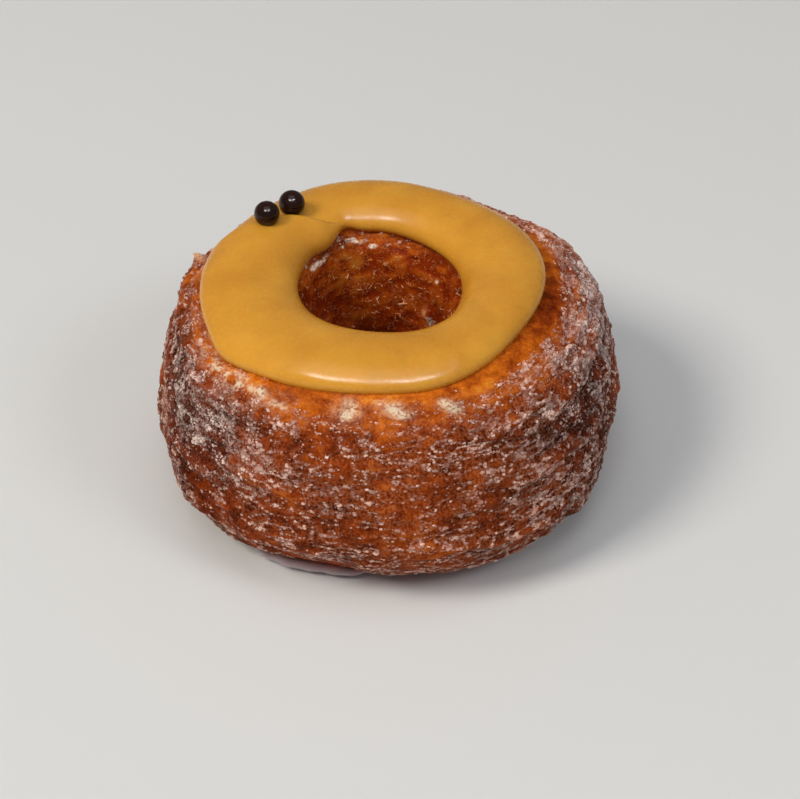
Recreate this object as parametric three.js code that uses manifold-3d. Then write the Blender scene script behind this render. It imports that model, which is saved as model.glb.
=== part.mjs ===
// Croissant doughnut: a fried ring of laminated dough, a ring of caramel glaze piped along its crown,
// and two chocolate pearls set in the glaze where the piped ring closes.
// Millimetres, +Z up. The origin is at the middle of the outline, on the surface that the ring stands on.
// Angles round the ring are in degrees, counter-clockwise from +X seen from above.

import * as THREE from "three";
import { ParametricGeometry } from "three/addons/geometries/ParametricGeometry.js";
import { mergeVertices } from "three/addons/utils/BufferGeometryUtils.js";
import Module from "manifold-3d";

// Driving dimensions of the dough ring
const OUTER_RADIUS = 43.3;
const HOLE_RADIUS = 13;
const HEIGHT = 43;
const LEAN = -1.5; // rise of the crown at the +X side

// Half section of the dough, as shares of the ring's width and height.
// It runs from the inner edge of the flat base outwards, up the flank, over the crown and down the hole.
const SECTION = [
  { place: "base_inner", across: 0.22, up: 0 },
  { place: "base_outer", across: 0.55, up: 0 },
  { place: "foot", across: 0.84, up: 0.11 },
  { place: "lower_flank", across: 1, up: 0.29 },
  { place: "belly", across: 1, up: 0.48 },
  { place: "upper_flank", across: 0.95, up: 0.69 },
  { place: "shoulder", across: 0.83, up: 0.895 },
  { place: "crown_outer", across: 0.63, up: 0.97 },
  { place: "crown", across: 0.39, up: 1 },
  { place: "hole_rim", across: 0.17, up: 0.962 },
  { place: "hole_upper", across: 0.05, up: 0.83 },
  { place: "hole_middle", across: 0, up: 0.58 },
  { place: "hole_lower", across: 0.02, up: 0.33 },
  { place: "hole_foot", across: 0.09, up: 0.09 },
];

// Slow swellings of the outline: waves round the ring, height and the angle of a peak
const OUTLINE_SWELLS = [
  { waves: 1, height: 0.7, peak: -17 },
  { waves: 2, height: 1.0, peak: 70 },
  { waves: 3, height: 0.4, peak: -24 },
  { waves: 4, height: 0.45, peak: 28 },
  { waves: 5, height: 0.45, peak: 19 },
];
const FLAT_BACK = { height: -1, angle: 65, width: 35 }; // where the outline is a little flatter

// Layers of dough that show on the flank
const LAYERS = 8;
const LAYER_DEPTH = 1.1;
const CALM_FRONT = { height: -0.35, angle: 266, width: 40 }; // where the layers stand out less
const RIDGED_RIGHT = { height: 0.3, angle: 325, width: 16 }; // and where more
const LAYER_ROWS = [0, 0.25, 0.62]; // shares of a layer's height that get a row of vertices
const HOLE_RIPPLE = 0.25; // depth of the creases down the hole

// Thin bottom leaf that sticks out from under the flank
const LEAF_REACH = 2.9;
const LEAF_SLANT = 0.014; // share of the reach gained for each degree left of its middle
const LEAF_MIDDLE = 248;
const LEAF_START = 224;
const LEAF_END = 268;
const LEAF_FADE = 9; // degrees over which each end of the leaf runs out
const FOOT_TUCK = { height: -3.4, angle: 248, width: 17 }; // the flank's foot draws back above the leaf

// Piped glaze
const GLAZE_GAP = 0.3;
const GLAZE_THICKNESS = 2.8;
const TONGUE_THICKNESS = 4.1; // the end of the piping, which laps over its start
const GLAZE_ROUNDNESS = 2.6; // exponent of the glaze's section, where 2 is an ellipse
const GLAZE_OUTER = 31.3;
const GLAZE_INNER = 17;
const GLAZE_OUTER_SWELLS = [
  { waves: 1, height: 3.2, peak: -169 },
  { waves: 2, height: 0.75, peak: 27 },
  { waves: 3, height: 0.5, peak: 28 },
  { waves: 4, height: 0.25, peak: 30 },
];
const GLAZE_INNER_SWELLS = [
  { waves: 1, height: 0.8, peak: 178 },
  { waves: 2, height: 0.65, peak: -88 },
  { waves: 4, height: 0.2, peak: 24 },
];
const GLAZE_BULGES = [
  { height: 1.2, angle: 350, width: 26 }, // where the glaze has run out towards the rim
  { height: 1, angle: 80, width: 34 },
  { height: 0.9, angle: 285, width: 20 },
  { height: 0.9, angle: 217, width: 9 },
];
const TONGUE_NOTCH = { height: 1.0, angle: 113.5, width: 7 }; // bay in the hole's edge before the tongue
const TONGUE_TIP = { height: -0.72, angle: 133, width: 11 }; // the tongue's tip, which fills the hole's edge
const TONGUE_EDGE_ANGLE = 112; // where the tongue's edge meets the hole
const TONGUE_TURN = 56; // how far round the edge runs from the hole to the outer rim
const TONGUE_NOSE = 2.6; // width over which the tongue's nose rounds over
const TONGUE_LENGTH = 70; // degrees over which the tongue settles to the thickness of the rest

// Pearls, by radius and place on the ring
const PEARL_SINK = 0.8;
const PEARLS = [
  { name: "chocolate_pearl_right", radius: 2.5, ring: 24.5, angle: 135.9 },
  { name: "chocolate_pearl_left", radius: 2.4, ring: 25, angle: 151.9 },
];

// Fineness of the surfaces
const AROUND = 80;
const BASE_STOPS = [0, 0.5, 1, 1.24, 1.32, 1.46, 1.54, 1.75];
const CROWN_STEP = 0.5;
const GLAZE_TOP_ROWS = 12;
const GLAZE_BOTTOM_ROWS = 8;
const PEARL_SIDES = 18;
const PEARL_RINGS = 10;

const { sin, cos, exp, abs, sqrt, max, floor, PI } = Math;
const FULL_TURN = 2 * PI;
const toRadians = THREE.MathUtils.degToRad;
const toDegrees = THREE.MathUtils.radToDeg;
const clamp = THREE.MathUtils.clamp;
const smoothstep = THREE.MathUtils.smoothstep;
const lerp = THREE.MathUtils.lerp;

// Sum of cosine waves round the ring at an angle in radians.
function swell(swells, angle) {
  return swells.reduce((sum, { waves, height, peak }) => sum + height * cos(waves * (angle - toRadians(peak))), 0);
}

// Degrees from one angle to another the short way round, from -180 to 180.
function degreesPast(degrees, start) {
  return ((degrees - start + 540) % 360) - 180;
}

// A single bump in an edge, as wide as it says on either side of its angle.
function bump({ height, angle, width }, turn) {
  return height * exp(-((degreesPast(toDegrees(turn), angle) / width) ** 2));
}

// The section as a closed smooth curve. A stop along it counts the places above from zero.
const RING_WIDTH = OUTER_RADIUS - HOLE_RADIUS;
const PLACES = SECTION.length;
const stopOf = Object.fromEntries(SECTION.map(({ place }, index) => [place, index]));
const sectionCurve = new THREE.CatmullRomCurve3(
  SECTION.map(({ across, up }) => new THREE.Vector3(HOLE_RADIUS + across * RING_WIDTH, 0, up * HEIGHT)),
  true,
  "catmullrom",
  0.5,
);

function sectionAt(stop) {
  const share = (stop % PLACES) / PLACES;
  const point = sectionCurve.getPoint(share);
  const along = sectionCurve.getTangent(share);
  return { radius: point.x, height: max(point.z, 0), outward: along.z, upward: -along.x };
}

// How far round a point of the ring each layer has drifted up or down, in layers.
function layerDrift(angle, climb) {
  const held = sqrt(max(sin(PI * clamp(climb, 0, 1)), 0));
  const slow = 0.3 * sin(3 * angle + 1 + 2 * climb);
  const middle = 0.18 * sin(7 * angle + 4 - 3 * climb);
  return held * (slow + middle + 0.1 * sin(13 * angle + 2));
}

// Bulge of one layer: steep above its lower crease, then sloping back to the next crease.
function layerBulge(layer, share, angle) {
  const strength = 0.75 + 0.2 * sin(2 * angle + 2.1 * layer) + 0.25 * sin(5 * angle + 3.7 * layer);
  const depth = LAYER_DEPTH * (1 + bump(CALM_FRONT, angle) + bump(RIDGED_RIGHT, angle));
  return depth * strength * max(sin(PI * share ** 0.6), 0) ** 0.7;
}

// Reach of the bottom leaf at an angle, with a ragged edge.
function leafReach(angle) {
  const degrees = (toDegrees(angle) + 360) % 360;
  const rise = smoothstep(degrees, LEAF_START, LEAF_START + LEAF_FADE);
  const fall = 1 - smoothstep(degrees, LEAF_END - LEAF_FADE, LEAF_END);
  const slant = 1 + LEAF_SLANT * (LEAF_MIDDLE - degrees);
  const ragged = 1 + 0.06 * sin(23 * angle - 1.5) + 0.05 * sin(51 * angle + 1);
  return LEAF_REACH * rise * fall * slant * ragged;
}

// How far a point near the base stands out along the radius: out at the leaf, and back at the foot above it.
function footReach(angle, stop) {
  const leafShare = smoothstep(stop, 1.24, 1.32) * (1 - smoothstep(stop, 1.46, 1.54));
  const tuckShare = smoothstep(stop, 1.46, 1.66) * (1 - smoothstep(stop, 2.3, 3.3));
  return leafReach(angle) * leafShare + bump(FOOT_TUCK, angle) * tuckShare;
}

// Place in space of a point of the section, pushed out along the section's normal.
function ringPoint(angle, stop, push) {
  const { radius, height, outward, upward } = sectionAt(stop);
  const across = (radius - HOLE_RADIUS) / RING_WIDTH;
  const swelling = swell(OUTLINE_SWELLS, angle) + bump(FLAT_BACK, angle);
  const ring = radius + outward * push + footReach(angle, stop) + across * swelling;
  const x = ring * cos(angle);
  const y = ring * sin(angle);
  const lean = (LEAN * (height / HEIGHT) * x) / OUTER_RADIUS;
  return new THREE.Vector3(x, y, max(height + upward * push + lean, 0));
}

// Rows of vertices round the dough: under the base, three to each layer, over the crown and down the hole.
function doughRows() {
  const rows = BASE_STOPS.map((stop) => ({ stop }));
  for (let layer = 0; layer < LAYERS; layer += 1) {
    LAYER_ROWS.forEach((share) => rows.push({ layer, share }));
  }
  for (let stop = stopOf.shoulder; stop < PLACES; stop += CROWN_STEP) {
    rows.push({ stop });
  }
  return rows;
}

// A point of a layer's row, at the height to which the layer has drifted.
function layerPoint(angle, layer, share) {
  const climb = (layer + share) / LAYERS;
  const drifted = climb - layerDrift(angle, climb) / LAYERS;
  const stop = lerp(stopOf.foot, stopOf.shoulder, drifted);
  return ringPoint(angle, stop, layerBulge(layer, share, angle));
}

// A point of the base, the crown or the hole.
function plainPoint(angle, stop) {
  const depth = HOLE_RIPPLE * smoothstep(stop, stopOf.hole_upper, stopOf.hole_middle);
  const faded = depth * (1 - smoothstep(stop, stopOf.hole_lower, PLACES));
  const ripple = faded * sin(4 * stop + 1.5 * sin(3 * angle) + 5 * angle);
  return ringPoint(angle, stop, ripple);
}

// A closed ring surface through rows that are given as functions of the angle.
function ringSurface(rows) {
  const surface = (roundShare, rowShare, target) => {
    const angle = roundShare * FULL_TURN;
    const row = rows[floor(rowShare * rows.length + 0.5) % rows.length];
    target.copy(row(angle));
  };
  return weld(new ParametricGeometry(surface, AROUND, rows.length));
}

// Joins the doubled vertices of a closed surface.
function weld(geometry) {
  geometry.deleteAttribute("normal");
  geometry.deleteAttribute("uv");
  return mergeVertices(geometry, 1e-3);
}

function doughGeometry() {
  const rows = doughRows().map(({ stop, layer, share }) => {
    return layer === undefined ? (angle) => plainPoint(angle, stop) : (angle) => layerPoint(angle, layer, share);
  });
  return ringSurface(rows);
}

// Stop on the crown at a radius, found by halving between the shoulder and the hole.
function crownStop(radius) {
  let outside = stopOf.shoulder;
  let inside = stopOf.hole_upper;
  for (let turn = 0; turn < 30; turn += 1) {
    const middle = (outside + inside) / 2;
    if (sectionAt(middle).radius > radius) {
      outside = middle;
    } else {
      inside = middle;
    }
  }
  return outside;
}

// Edges of the glaze at an angle, as stops on the crown.
function glazeEdges(angle) {
  const tongue = bump(TONGUE_NOTCH, angle) + bump(TONGUE_TIP, angle);
  const bulges = GLAZE_BULGES.reduce((sum, bulge) => sum + bump(bulge, angle), 0);
  return {
    outer: crownStop(GLAZE_OUTER + swell(GLAZE_OUTER_SWELLS, angle) + bulges),
    inner: crownStop(GLAZE_INNER + swell(GLAZE_INNER_SWELLS, angle) + tongue),
  };
}

// Thickness of the glaze: the plain piping, or the tongue where that stands higher.
// The width share runs from -1 at the hole to 1 at the outer rim.
function glazeThickness(angle, widthShare) {
  const pillow = max(1 - abs(widthShare) ** GLAZE_ROUNDNESS, 0) ** (1 / GLAZE_ROUNDNESS);
  const outward = clamp((widthShare + 1) / 2, 0, 1);
  const edge = TONGUE_EDGE_ANGLE + TONGUE_TURN * outward;
  const past = degreesPast(toDegrees(angle), edge);
  const ring = lerp(GLAZE_INNER, GLAZE_OUTER, outward);
  const nose = clamp((toRadians(past) * ring) / TONGUE_NOSE, 0, 1);
  const settle = smoothstep(past, 0, TONGUE_LENGTH);
  const tongue = lerp(TONGUE_THICKNESS, GLAZE_THICKNESS, settle) * sqrt(1 - (1 - nose) ** 2);
  return pillow * max(GLAZE_THICKNESS, tongue);
}

function glazePoint(angle, widthShare, lift) {
  const { outer, inner } = glazeEdges(angle);
  const stop = lerp(inner, outer, (widthShare + 1) / 2);
  return ringPoint(angle, stop, GLAZE_GAP + lift);
}

function glazeTopPoint(angle, widthShare) {
  return glazePoint(angle, widthShare, glazeThickness(angle, widthShare));
}

// The section of the glaze runs from its outer edge over the top to the hole, and back underneath.
function glazeGeometry() {
  const rows = [];
  for (let row = 0; row <= GLAZE_TOP_ROWS; row += 1) {
    const widthShare = cos((PI * row) / GLAZE_TOP_ROWS);
    rows.push((angle) => glazeTopPoint(angle, widthShare));
  }
  for (let row = 1; row < GLAZE_BOTTOM_ROWS; row += 1) {
    const widthShare = -1 + (2 * row) / GLAZE_BOTTOM_ROWS;
    rows.push((angle) => glazePoint(angle, widthShare, 0));
  }
  return ringSurface(rows);
}

// Middle of a pearl that rests in the glaze.
function pearlCentre({ radius, ring, angle }) {
  const turn = toRadians(angle);
  const { outer, inner } = glazeEdges(turn);
  const widthShare = (2 * (crownStop(ring) - inner)) / (outer - inner) - 1;
  const seat = glazeTopPoint(turn, widthShare);
  return new THREE.Vector3(ring * cos(turn), ring * sin(turn), seat.z + radius - PEARL_SINK);
}

function ballGeometry(radius) {
  return weld(new THREE.SphereGeometry(radius, PEARL_SIDES, PEARL_RINGS));
}

// Cuts a ball-shaped seat for each pearl out of the glaze.
const wasm = await Module();
wasm.setup();

function solidOf(geometry) {
  const vertProperties = new Float32Array(geometry.attributes.position.array);
  const triVerts = new Uint32Array(geometry.index.array);
  return new wasm.Manifold(new wasm.Mesh({ numProp: 3, vertProperties, triVerts }));
}

function geometryOf(solid) {
  const { vertProperties, triVerts } = solid.getMesh();
  const geometry = new THREE.BufferGeometry();
  geometry.setAttribute("position", new THREE.BufferAttribute(new Float32Array(vertProperties), 3));
  geometry.setIndex(new THREE.BufferAttribute(new Uint32Array(triVerts), 1));
  return geometry;
}

function seatedGlazeGeometry() {
  const seats = PEARLS.map((pearl) => {
    const { x, y, z } = pearlCentre(pearl);
    return solidOf(ballGeometry(pearl.radius + GLAZE_GAP).translate(x, y, z));
  });
  return geometryOf(seats.reduce((glaze, seat) => glaze.subtract(seat), solidOf(glazeGeometry())));
}

// The pieces
function piece(name, geometry, color, roughness) {
  const material = new THREE.MeshStandardMaterial({ color, roughness, metalness: 0 });
  const mesh = new THREE.Mesh(geometry, material);
  mesh.name = name;
  return mesh;
}

const pieces = new THREE.Group();
pieces.add(piece("pastry", doughGeometry(), 0xb8702f, 0.55));
pieces.add(piece("caramel_glaze", seatedGlazeGeometry(), 0xd09a3c, 0.18));
PEARLS.forEach((pearl) => {
  const ball = piece(pearl.name, ballGeometry(pearl.radius), 0x24140f, 0.2);
  ball.position.copy(pearlCentre(pearl));
  pieces.add(ball);
});

// The outline's middle comes to the origin, and the base to the surface below.
const outline = new THREE.Box3().setFromObject(pieces, true);
const middle = outline.getCenter(new THREE.Vector3());
pieces.position.set(-middle.x, -middle.y, -outline.min.z);

const croissantDoughnut = new THREE.Group();
croissantDoughnut.name = "croissant_doughnut";
croissantDoughnut.add(pieces);

export default croissantDoughnut;
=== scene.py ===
# %% [markdown]
# # A croissant doughnut, worked out with numpy
#
# The real thing is a ring of laminated dough that was fried, rolled in sugar and topped with a piped ring
# of caramel glaze and two chocolate pearls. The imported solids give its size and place. This lesson puts a
# finer surface over each solid, with formulas on grids, and then adds what solids can't hold: the browned
# crust, the grains of sugar and the gloss of the glaze.

import bpy
import numpy as np
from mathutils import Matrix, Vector


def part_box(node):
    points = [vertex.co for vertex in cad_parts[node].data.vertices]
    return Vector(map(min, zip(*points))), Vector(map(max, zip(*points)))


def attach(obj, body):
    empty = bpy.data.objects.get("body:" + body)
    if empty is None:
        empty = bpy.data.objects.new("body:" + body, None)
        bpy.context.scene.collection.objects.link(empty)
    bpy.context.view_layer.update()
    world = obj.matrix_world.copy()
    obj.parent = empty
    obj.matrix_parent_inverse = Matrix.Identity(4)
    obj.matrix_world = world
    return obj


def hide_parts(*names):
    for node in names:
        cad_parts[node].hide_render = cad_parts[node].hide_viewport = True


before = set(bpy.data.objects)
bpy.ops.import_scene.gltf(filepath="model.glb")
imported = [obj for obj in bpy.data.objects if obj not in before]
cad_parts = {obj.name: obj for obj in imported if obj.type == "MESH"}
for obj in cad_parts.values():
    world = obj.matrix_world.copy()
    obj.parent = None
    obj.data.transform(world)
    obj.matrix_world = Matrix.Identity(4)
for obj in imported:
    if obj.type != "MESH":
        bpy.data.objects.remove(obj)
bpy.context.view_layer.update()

# %% [markdown]
# ## The hole's axis
#
# All shapes here are written round the axis of the hole, in millimetres, because that is how a ring is
# drawn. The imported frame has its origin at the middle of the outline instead, so the axis stands a little
# to one side. The right pearl's place on the ring is known, so its box in the frame gives that step.

# %% Where the axis of the hole stands
MM = 0.001
PEARLS = {
    "chocolate_pearl_right": {"radius": 2.5, "ring": 24.5, "angle": 135.9},
    "chocolate_pearl_left": {"radius": 2.4, "ring": 25.0, "angle": 151.9},
}


def box_centre(node):
    """Middle of a solid's box, in millimetres."""
    low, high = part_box(node)
    return np.array((low + high) / 2) / MM


def on_ring(ring, degrees):
    """Plan of a point at a distance from the axis and an angle from +X: ring times cosine and sine."""
    turn = np.radians(degrees)
    return np.array([ring * np.cos(turn), ring * np.sin(turn)])


marker = PEARLS["chocolate_pearl_right"]
axis_xy = box_centre("chocolate_pearl_right")[:2] - on_ring(marker["ring"], marker["angle"])
print("axis of the hole, mm:", axis_xy.round(3))

# %% [markdown]
# ## The camera
#
# The photograph looks down at about 38 degrees from 430 mm away, with a long lens. The lens follows from
# the scale: at that distance a millimetre is 5.27 pixels wide. The camera aims a little below and to the
# right of the ring's middle, which puts the ring where the photograph has it.

# %% Camera at the photograph's angle
IMAGE_WIDTH = 800
IMAGE_HEIGHT = 799
ELEVATION = np.radians(38)
DISTANCE = 430
PIXELS_PER_MM = 5.27
RING_MIDDLE_PIXEL = (386, 360)
SENSOR = 36

ring_middle = np.array([*axis_xy, 24])
towards_camera = np.array([0, -np.cos(ELEVATION), np.sin(ELEVATION)])
image_up = np.array([0, np.sin(ELEVATION), np.cos(ELEVATION)])
image_right = np.array([1, 0, 0])
aim_right = (IMAGE_WIDTH / 2 - RING_MIDDLE_PIXEL[0]) / PIXELS_PER_MM
aim_down = (IMAGE_HEIGHT / 2 - RING_MIDDLE_PIXEL[1]) / PIXELS_PER_MM
aim = ring_middle + aim_right * image_right - aim_down * image_up
eye = ring_middle + DISTANCE * towards_camera

camera_data = bpy.data.cameras.new("camera")
camera_data.sensor_width = SENSOR
camera_data.lens = SENSOR * PIXELS_PER_MM * DISTANCE / IMAGE_WIDTH
camera_data.clip_start = 0.01
camera = bpy.data.objects.new("camera", camera_data)
camera.location = eye * MM
camera.rotation_euler = Vector(aim - eye).to_track_quat("-Z", "Y").to_euler()
bpy.context.scene.collection.objects.link(camera)
bpy.context.scene.camera = camera
print("lens, mm:", round(camera_data.lens, 1))

# %% [markdown]
# ## The section of the dough
#
# Cut through one side, the dough is a tall rounded loaf with a flat base. Fourteen named places describe it
# as shares of the ring's width and height, and a smooth closed curve runs through them. A place along the
# curve is called a stop: stop 2 is the foot, stop 2.5 is halfway to the lower flank. These are the sizes
# that the solid was made from, so the fine surface lies over it.

# %% Section curve
OUTER_RADIUS = 43.3
HOLE_RADIUS = 13
HEIGHT = 43
LEAN = -1.5
RING_WIDTH = OUTER_RADIUS - HOLE_RADIUS
SECTION = {
    "base_inner": (0.22, 0), "base_outer": (0.55, 0), "foot": (0.84, 0.11), "lower_flank": (1, 0.29),
    "belly": (1, 0.48), "upper_flank": (0.95, 0.69), "shoulder": (0.83, 0.895), "crown_outer": (0.63, 0.97),
    "crown": (0.39, 1), "hole_rim": (0.17, 0.962), "hole_upper": (0.05, 0.83), "hole_middle": (0, 0.58),
    "hole_lower": (0.02, 0.33), "hole_foot": (0.09, 0.09),
}
STOP = {place: index for index, place in enumerate(SECTION)}
PLACES = len(SECTION)
section_points = np.array(list(SECTION.values())) * [RING_WIDTH, HEIGHT] + [HOLE_RADIUS, 0]


def section_at(stops):
    """Catmull-Rom curve: on each span a cubic whose slope at a place is half the step between its neighbours.
    Gives the radius and height, kept above the base, and the unit direction along the curve."""
    wrapped = np.asarray(stops, float) % PLACES
    span = np.floor(wrapped).astype(int)
    t = (wrapped - span)[..., None]
    before, start, end, after = (section_points[(span + step) % PLACES] for step in (-1, 0, 1, 2))
    linear = end - before
    square = 2 * before - 5 * start + 4 * end - after
    cube = 3 * start - before - 3 * end + after
    place = 0.5 * (2 * start + linear * t + square * t**2 + cube * t**3)
    along = linear + 2 * square * t + 3 * cube * t**2
    along /= np.linalg.norm(along, axis=-1, keepdims=True)
    return place[..., 0], np.maximum(place[..., 1], 0), along


print("belly radius and height, mm:", [round(float(v), 2) for v in section_at(STOP["belly"])[:2]])

# %% [markdown]
# ## Waves and bumps
#
# No fried ring is perfect. A few small functions describe all that varies round it: slow cosine waves swell
# an outline, a bell makes one bump at one angle, and an S-shaped step fades one thing into another.

# %% Waves, bells and steps
def swell(swells, angle):
    """Sum of cosine waves round the ring, each given as waves in a turn, height and the degrees of a peak."""
    return sum(height * np.cos(waves * (angle - np.radians(peak))) for waves, height, peak in swells)


def degrees_past(turn, start):
    """Degrees from one angle to another the short way round."""
    return (np.degrees(turn) - start + 180) % 360 - 180


def bell(bump, turn):
    """One bump round the ring, given as height, angle and width: e to minus the square of widths away."""
    height, centre, width = bump
    return height * np.exp(-((degrees_past(turn, centre) / width) ** 2))


def bells(bumps, turn):
    """Sum of several such bumps."""
    return sum(bell(bump, turn) for bump in bumps)


def smooth_step(value, low, high):
    """0 below low, 1 above high, and an S-shaped cubic between."""
    share = np.clip((value - low) / (high - low), 0, 1)
    return share * share * (3 - 2 * share)


print("a bell at its middle and one width away:", bell((1, 90, 20), np.radians([90, 110])).round(3))

# %% [markdown]
# ## The foot and the bottom leaf
#
# At the front left a thin pale leaf sticks out from under the flank, with a ragged edge, and the flank's foot
# draws back above it. Both are steps along the radius: the rows of points just above the base reach out, and
# the rows above those reach in. The foot draws back a millimetre less here than in the solid, because the
# photograph shows hardly any gap above the leaf.

# %% Reach of the foot
LEAF_REACH = 2.9
LEAF_SLANT = 0.014
LEAF_MIDDLE = 248
LEAF_START = 224
LEAF_END = 268
LEAF_FADE = 9
FOOT_TUCK = (-2.4, 248, 17)


def leaf_reach(angle):
    """Reach at an angle: full between the ends, greater to the left, fading at both, with a ragged edge."""
    degrees = np.degrees(angle) % 360
    rise = smooth_step(degrees, LEAF_START, LEAF_START + LEAF_FADE)
    fall = 1 - smooth_step(degrees, LEAF_END - LEAF_FADE, LEAF_END)
    slant = 1 + LEAF_SLANT * (LEAF_MIDDLE - degrees)
    ragged = 1 + 0.06 * np.sin(23 * angle - 1.5) + 0.05 * np.sin(51 * angle + 1)
    return LEAF_REACH * rise * fall * slant * ragged


def leaf_share(stop):
    """Share of the reach that a stop gets: whole on the shelf just above the base, none elsewhere."""
    return smooth_step(stop, 1.24, 1.32) * (1 - smooth_step(stop, 1.46, 1.54))


def foot_reach(angle, stop):
    """The leaf's reach on its shelf, and above the shelf the tuck, which fades out up the flank."""
    tucked = smooth_step(stop, 1.46, 1.66) * (1 - smooth_step(stop, 2.3, 3.3))
    return leaf_reach(angle) * leaf_share(stop) + bell(FOOT_TUCK, angle) * tucked


print("reach of the leaf at 248 degrees, mm:", leaf_reach(np.radians(248)).round(2))

# %% [markdown]
# ## From the section to the ring
#
# Turning the section round the axis would give a perfect ring. The waves swell the outline, more at the
# outside than at the hole, one side is flatter, and the crown leans a little. Everything that lies on the
# dough is placed by the same function, so nothing floats or sinks.

# %% Points on the ring
OUTLINE_SWELLS = [(1, 0.7, -17), (2, 1.0, 70), (3, 0.4, -24), (4, 0.45, 28), (5, 0.45, 19)]
FLAT_BACK = (-1.0, 65, 35)


def ring_points(angle, stop, push=0.0, droop=0.0):
    """The section's point, moved out along its normal by push, back along the curve by droop and along the
    radius by the foot's reach, then swelled, turned to its angle and leaned. Millimetres round the axis."""
    radius, height, along = section_at(stop)
    across = (radius - HOLE_RADIUS) / RING_WIDTH
    swelling = across * (swell(OUTLINE_SWELLS, angle) + bell(FLAT_BACK, angle))
    ring = radius + along[..., 1] * push - along[..., 0] * droop + foot_reach(angle, stop) + swelling
    x = ring * np.cos(angle)
    y = ring * np.sin(angle)
    lean = LEAN * (height / HEIGHT) * x / OUTER_RADIUS
    z = height - along[..., 0] * push - along[..., 1] * droop + lean
    return np.stack([x, y, np.maximum(z, 0)], -1)


print("top of the crown at the front, mm:", ring_points(np.radians(270), STOP["crown"]).round(2))

# %% [markdown]
# ## Noise
#
# Crusts are uneven at every scale. Lattice noise gives that: each corner of a lattice of unit cells gets a
# random height by a hash of its place, and the heights blend smoothly inside each cell. The same place
# always gets the same height, so the result never changes from run to run.

# %% Lattice noise
CELL_CORNERS = np.array(np.meshgrid([0, 1], [0, 1], [0, 1], indexing="ij")).reshape(3, -1).T


def corner_heights(cells, seed):
    """Hash of three whole numbers and a seed to a height from -1 to 1, by multiplying and folding bits."""
    mixers = np.array([374761393, 668265263, 2246822519], np.uint64)
    mixed = (cells.astype(np.int64).astype(np.uint64) * mixers).sum(-1) + np.uint64(seed * 3266489917)
    for shift, factor in ((15, 2654435761), (13, 3266489917)):
        mixed = ((mixed ^ (mixed >> np.uint64(shift))) * np.uint64(factor)) & np.uint64(0xFFFFFFFF)
    return (mixed ^ (mixed >> np.uint64(16))) / 2.0**31 - 1


def lattice_noise(places, seed):
    """Blend of a cell's eight corner heights, each weighted by a smoothstep of its nearness on each axis."""
    cell = np.floor(places)
    inside = places - cell
    ease = inside * inside * (3 - 2 * inside)
    total = np.zeros(places.shape[:-1])
    for corner in CELL_CORNERS:
        weight = np.where(corner == 1, ease, 1 - ease).prod(-1)
        total += weight * corner_heights(cell + corner, seed)
    return total


def rough_noise(places, seed, octaves=3):
    """Sum of lattice noises, each half as high and twice as fine as the one before."""
    return sum(lattice_noise(places * 2**k, seed + k) / 2**k for k in range(octaves))


probe = lattice_noise(np.random.default_rng(1).uniform(0, 50, (20000, 3)), 1)
print("noise range:", probe.min().round(2), probe.max().round(2))

# %% [markdown]
# ## Meshes from arrays
#
# A ring surface is a grid that closes on itself in both directions. Index arithmetic gives its four-sided
# faces, and foreach_set copies whole arrays into the mesh. The grid's own two parameters become a UV map.

# %% Mesh helpers
def mesh_object(name, points, faces, smooth=True):
    """A mesh object from an array of points in metres and an array of faces with equal numbers of sides."""
    mesh = bpy.data.meshes.new(name)
    mesh.vertices.add(len(points))
    mesh.vertices.foreach_set("co", np.ascontiguousarray(points, np.float32).ravel())
    mesh.loops.add(faces.size)
    mesh.loops.foreach_set("vertex_index", np.ascontiguousarray(faces, np.int32).ravel())
    mesh.polygons.add(len(faces))
    mesh.polygons.foreach_set("loop_start", np.arange(0, faces.size, faces.shape[1], dtype=np.int32))
    mesh.polygons.foreach_set("use_smooth", np.full(len(faces), smooth))
    mesh.update(calc_edges=True)
    piece = bpy.data.objects.new(name, mesh)
    bpy.context.scene.collection.objects.link(piece)
    return piece


def add_uv(piece, face_uv):
    """A UV map from an array that holds one pair for each corner of each face."""
    layer = piece.data.uv_layers.new(name="OFBake")
    layer.data.foreach_set("uv", np.ascontiguousarray(face_uv, np.float32).ravel())


def add_tone(piece, name, values):
    """One number for each vertex, which a material can read by name."""
    layer = piece.data.attributes.new(name, "FLOAT", "POINT")
    layer.data.foreach_set("value", np.ascontiguousarray(values, np.float32).ravel())


def place_in_frame(points):
    """From millimetres round the hole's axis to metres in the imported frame."""
    return (points + [*axis_xy, 0]) * MM


def ring_grid_faces(around, rows):
    """Corners of the faces of a grid that closes both ways, and their shares of the way round and across."""
    column, row = np.meshgrid(np.arange(around), np.arange(rows), indexing="ij")
    corners = [(column, row), (column + 1, row), (column + 1, row + 1), (column, row + 1)]
    faces = np.stack([(c % around) * rows + r % rows for c, r in corners], -1).reshape(-1, 4)
    shares = np.stack([np.stack([c / around, r / rows], -1) for c, r in corners], -2).reshape(-1, 4, 2)
    return faces, shares


def ring_piece(name, points):
    """A closed ring from a grid of points, with its first axis counter-clockwise round the hole."""
    around, rows = points.shape[:2]
    faces, shares = ring_grid_faces(around, rows)
    piece = mesh_object(name, place_in_frame(points.reshape(-1, 3)), faces)
    add_uv(piece, shares)
    print(f"{name}: {len(points.reshape(-1, 3))} points, {2 * len(faces)} triangles")
    return piece


# %% [markdown]
# ## Layers of dough
#
# Laminated dough is a stack of thin leaves. Frying drives them apart, so the flank is a pile of wavy bulges
# with creases between. Each layer rises steeply above its lower crease and slopes back to the next one.
# Every layer holds three or four thinner leaves, which repeat the same shape at a smaller scale.

# %% Relief of the layers
LAYERS = 8
LAYER_DEPTH = 1.1
CALM_FRONT = (-0.35, 266, 40)
RIDGED_RIGHT = (0.3, 325, 16)
LEAVES_PER_LAYER = 3.4
LEAF_DEPTH = 0.38


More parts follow.
